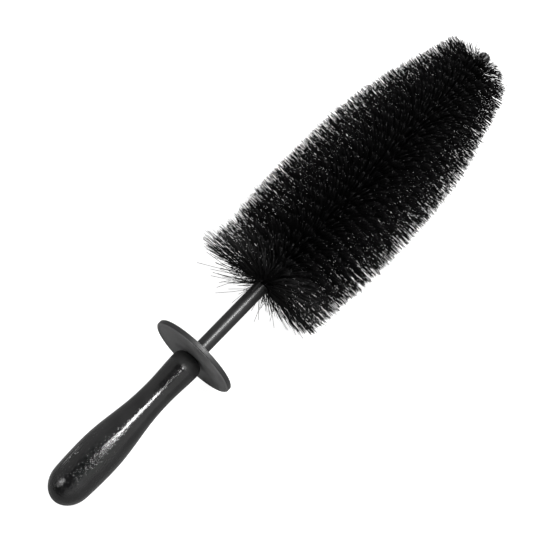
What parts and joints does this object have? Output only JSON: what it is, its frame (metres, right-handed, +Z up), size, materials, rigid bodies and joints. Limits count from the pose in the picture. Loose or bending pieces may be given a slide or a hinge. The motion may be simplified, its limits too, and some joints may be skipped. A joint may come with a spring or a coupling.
{
  "type": "wheel brush",
  "caption": "Long-reach wheel brush with a moulded grip, a sliding splash guard, a sleeved twisted-wire stem and a tapering head of soft bristles.",
  "frame": {"origin": "centre of the footprint, on the surface the brush lies on", "axes": "+Z up; +X from the butt of the handle towards the tip of the head, seen from above; the brush's own axis rises towards the tip because the head is thicker than the handle"},
  "size_m": [0.4518, 0.0976, 0.1138],
  "materials": {
    "grip_plastic": "gloss",
    "guard_rubber": "satin",
    "sleeve_plastic": "satin",
    "stem_wire": "satin",
    "cap_rubber": "matte",
    "bristle_fibre": "satin"
  },
  "bodies": {
    "brush": {"handle": "grip_plastic", "stem_sleeve": "sleeve_plastic", "stem_wire_a": "stem_wire", "stem_wire_b": "stem_wire", "tip_cap": "cap_rubber", "bristle_row_01": "bristle_fibre", "bristle_row_02": "bristle_fibre", "bristle_row_03": "bristle_fibre", "bristle_row_04": "bristle_fibre", "bristle_row_05": "bristle_fibre", "bristle_row_06": "bristle_fibre", "bristle_row_07": "bristle_fibre", "bristle_row_08": "bristle_fibre", "bristle_row_09": "bristle_fibre", "bristle_row_10": "bristle_fibre", "bristle_row_11": "bristle_fibre", "bristle_row_12": "bristle_fibre", "bristle_row_13": "bristle_fibre", "bristle_row_14": "bristle_fibre", "bristle_row_15": "bristle_fibre", "bristle_row_16": "bristle_fibre", "bristle_row_17": "bristle_fibre", "bristle_row_18": "bristle_fibre", "bristle_row_19": "bristle_fibre", "bristle_row_20": "bristle_fibre", "bristle_row_21": "bristle_fibre", "bristle_row_22": "bristle_fibre", "bristle_row_23": "bristle_fibre", "bristle_row_24": "bristle_fibre", "bristle_row_25": "bristle_fibre", "bristle_row_26": "bristle_fibre", "bristle_row_27": "bristle_fibre", "bristle_row_28": "bristle_fibre", "bristle_row_29": "bristle_fibre", "bristle_row_30": "bristle_fibre"},
    "guard": {"splash_guard": "guard_rubber"}
  },
  "joints": [
    {"name": "guard_slide", "type": "slide", "parent": "brush", "child": "guard", "axis": [0.9884, 0, 0.1518], "range_m": [0, 0.045]}
  ]
}
